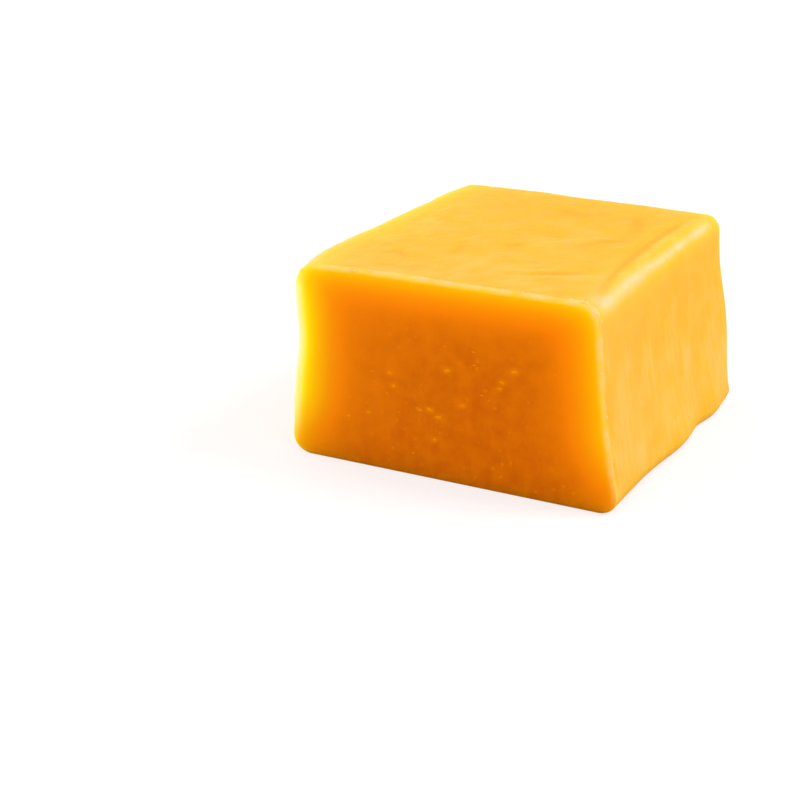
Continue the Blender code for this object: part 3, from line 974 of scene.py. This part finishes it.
def lump_paste(name, deep, pale):
    """The paste of a small lump: two colours mixed by soft mottling. It is too small to let light far in."""
    material = bpy.data.materials.new(name)
    material.use_nodes = True
    tree = material.node_tree
    shader = tree.nodes["Principled BSDF"]
    grain = tree.nodes.new("ShaderNodeGroup")
    grain.node_tree = bpy.data.node_groups["waxy grain"]
    grain.inputs["Cloud Scale"].default_value = 900.0
    colour = blend_colours(tree, grain.outputs["Cloud"], deep, pale)
    link(tree,
         (colour, shader.inputs["Base Color"]),
         (ranged(tree, grain.outputs["Cloud"], 0.3, 0.7, *LUMP_ROUGHNESS), shader.inputs["Roughness"]))
    shader.inputs["Specular IOR Level"].default_value = 0.10
    shader.inputs["Specular Tint"].default_value = SHEEN_TINT
    shader.inputs["Subsurface Weight"].default_value = 1.0
    shader.inputs["Subsurface Radius"].default_value = (1.0, 1.0, 1.0)
    shader.inputs["Subsurface Scale"].default_value = 0.0002
    return material


draw = np.random.default_rng(21)
corner_share = np.sort(draw.normal(0.0, CORNER_CRUMB_SPREAD, CORNER_CRUMBS))
top_share = draw.uniform(-1.0, 1.0, RIM_CRUMBS)
rim_a = np.where(draw.random(RIM_CRUMBS) < TOP_RIM_SHARE, top_share, 1.0)
rim_b = np.where(rim_a < 1.0, 1.0, draw.uniform(LOWEST_RIM_CRUMB, 1.0, RIM_CRUMBS))
crumb_a = np.concatenate([np.clip(1 + np.minimum(corner_share, 0), -1, 1), rim_a])
crumb_b = np.concatenate([np.clip(1 - np.maximum(corner_share, 0), -1, 1), rim_b])
crumb_y = -LENGTH / 2 + draw.uniform(0.0, CRUMBS_BEHIND_CUT, len(crumb_a))
crumb_x, crumb_z = section(crumb_a, crumb_b, crumb_y)
crumb_places = np.stack(settle(crumb_x, crumb_y, crumb_z), axis=1) + form_shift
forward = np.full(len(crumb_a), CRUMB_FORWARD)
crumb_out = np.stack([crumb_a ** CRUMB_FACING_POWER, forward, crumb_b ** CRUMB_FACING_POWER], axis=1)
crumb_out /= np.linalg.norm(crumb_out, axis=1, keepdims=True)
crumb_side = np.cross(crumb_out, [0.0, 1.0, 0.0])
crumb_side /= np.linalg.norm(crumb_side, axis=1, keepdims=True)
crumb_half = draw.uniform(*CRUMB_SIZE, (len(crumb_a), 3)) * CRUMB_SHAPE
crumb_half[:CORNER_CRUMBS] *= CORNER_CRUMB_SHAPE
crumb_points, crumb_quads = lumps(crumb_places, crumb_out, crumb_side, crumb_half, seed=22)
crumb_paste = lump_paste("crumb paste", PALE_CRUMB_AND_RIM_HIGHLIGHT, CRUMB_COLOUR)
crumbs = make_piece("rim_crumbs", crumb_points, crumb_quads, {}, crumb_paste)
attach(crumbs, "root")

draw = np.random.default_rng(31)
named = FLECK_PLACES.copy()
named[:, 0] += form_shift[0]
scattered = np.stack([draw.uniform(low, high, SCATTERED_FLECKS) for low, high in SCATTER_RANGES], axis=1)
flecks = np.concatenate([named, scattered])
lean = draw.uniform(*FLECK_LEAN, len(flecks))
fleck_side = np.stack([np.cos(lean), np.zeros_like(lean), np.sin(lean)], axis=1)
fleck_out = np.tile([0.0, -1.0, 0.0], (len(flecks), 1))
fleck_length = draw.uniform(*FLECK_SIZE, len(flecks))
fleck_breadth = draw.uniform(*FLECK_BREADTH, len(flecks))
fleck_height = np.full(len(flecks), FLECK_HEIGHT)
fleck_half = flecks[:, 2:] * np.stack([fleck_length, fleck_breadth, fleck_height], axis=1)
fleck_places = np.stack([flecks[:, 0], np.full(len(flecks), cheese_low[1]), flecks[:, 1]], axis=1)
fleck_points, fleck_quads = lumps(fleck_places, fleck_out, fleck_side, fleck_half, seed=32)
fleck_paste = lump_paste("fleck paste", FLECK_PALE, FLECK_BRIGHT)
fleck_piece = make_piece("cut_flecks", fleck_points, fleck_quads, {}, fleck_paste)
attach(fleck_piece, "root")

# The studio
# A wide white table top, a soft sky of light that changes a little from the camera's side to the back, a
# broad key light from behind on the right and a low one from the left that makes the left edge glow.

# The table top shines white where the camera sees it, and gives the cheese only its bounce of light
FLOOR_HALF = 4.0
FLOOR_COLOUR = (0.34, 0.34, 0.34)
FLOOR_SHINE = 0.65
FLOOR_BOUNCE = (0.54, 0.53, 0.52)

# The sky changes from its first colour to its second towards one direction
SKY_FROM = (1.51, 1.46, 1.43)
SKY_TO = (0.70, 0.70, 0.70)
SKY_TOWARDS = (0.25, 0.75, 0.61)

# The lamps: name, where the light comes from, strength, colour and how wide it is in radians
SUNS = (
    ("key light", (0.66, 0.34, 0.67), 1.75, (1.0, 0.98, 0.96), 0.55),
    ("left light", (-0.980, 0.16, 0.10), 1.5, (1.0, 0.98, 0.97), 0.35),
)

floor_mesh = bpy.data.meshes.new("table_top")
corners = [(a * FLOOR_HALF, b * FLOOR_HALF, cad_low.z) for a, b in ((-1, -1), (1, -1), (1, 1), (-1, 1))]
floor_mesh.from_pydata(corners, [], [(0, 1, 2, 3)])
floor = bpy.data.objects.new("table_top", floor_mesh)
bpy.context.scene.collection.objects.link(floor)
white = bpy.data.materials.new("white table top")
white.use_nodes = True
tree = white.node_tree
shader = tree.nodes["Principled BSDF"]
shader.inputs["Roughness"].default_value = 0.9
shader.inputs["Specular IOR Level"].default_value = 0.1
seen = tree.nodes.new("ShaderNodeLightPath")
top_colour = blend_colours(tree, seen.outputs["Is Camera Ray"], FLOOR_BOUNCE, FLOOR_COLOUR)
link(tree,
     (seen.outputs["Is Camera Ray"], shader.inputs["Emission Color"]),
     (top_colour, shader.inputs["Base Color"]))
shader.inputs["Emission Strength"].default_value = FLOOR_SHINE
floor_mesh.materials.append(white)

for name, towards, strength, colour, spread in SUNS:
    lamp = bpy.data.lights.new(name, "SUN")
    lamp.energy = strength
    lamp.color = colour
    lamp.angle = spread
    sun = bpy.data.objects.new(name, lamp)
    sun.rotation_euler = Vector(towards).to_track_quat("Z", "Y").to_euler()
    sun.visible_glossy = name == "key light"
    bpy.context.scene.collection.objects.link(sun)

world = bpy.data.worlds.new("studio")
bpy.context.scene.world = world
world.use_nodes = True
tree = world.node_tree
background = tree.nodes["Background"]
direction = tree.nodes.new("ShaderNodeTexCoord")
facing = tree.nodes.new("ShaderNodeVectorMath")
facing.operation = "DOT_PRODUCT"
facing.inputs[1].default_value = SKY_TOWARDS
link(tree, (direction.outputs["Generated"], facing.inputs[0]))
sky = blend_colours(tree, ranged(tree, facing.outputs["Value"], -0.7, 0.8, 0.0, 1.0), SKY_FROM, SKY_TO)
seen = tree.nodes.new("ShaderNodeLightPath")
sky = blend_colours(tree, seen.outputs["Is Camera Ray"], sky, (1.0, 1.0, 1.0))
link(tree, (sky, background.inputs["Color"]))
bpy.context.scene.view_settings.view_transform = "Standard"
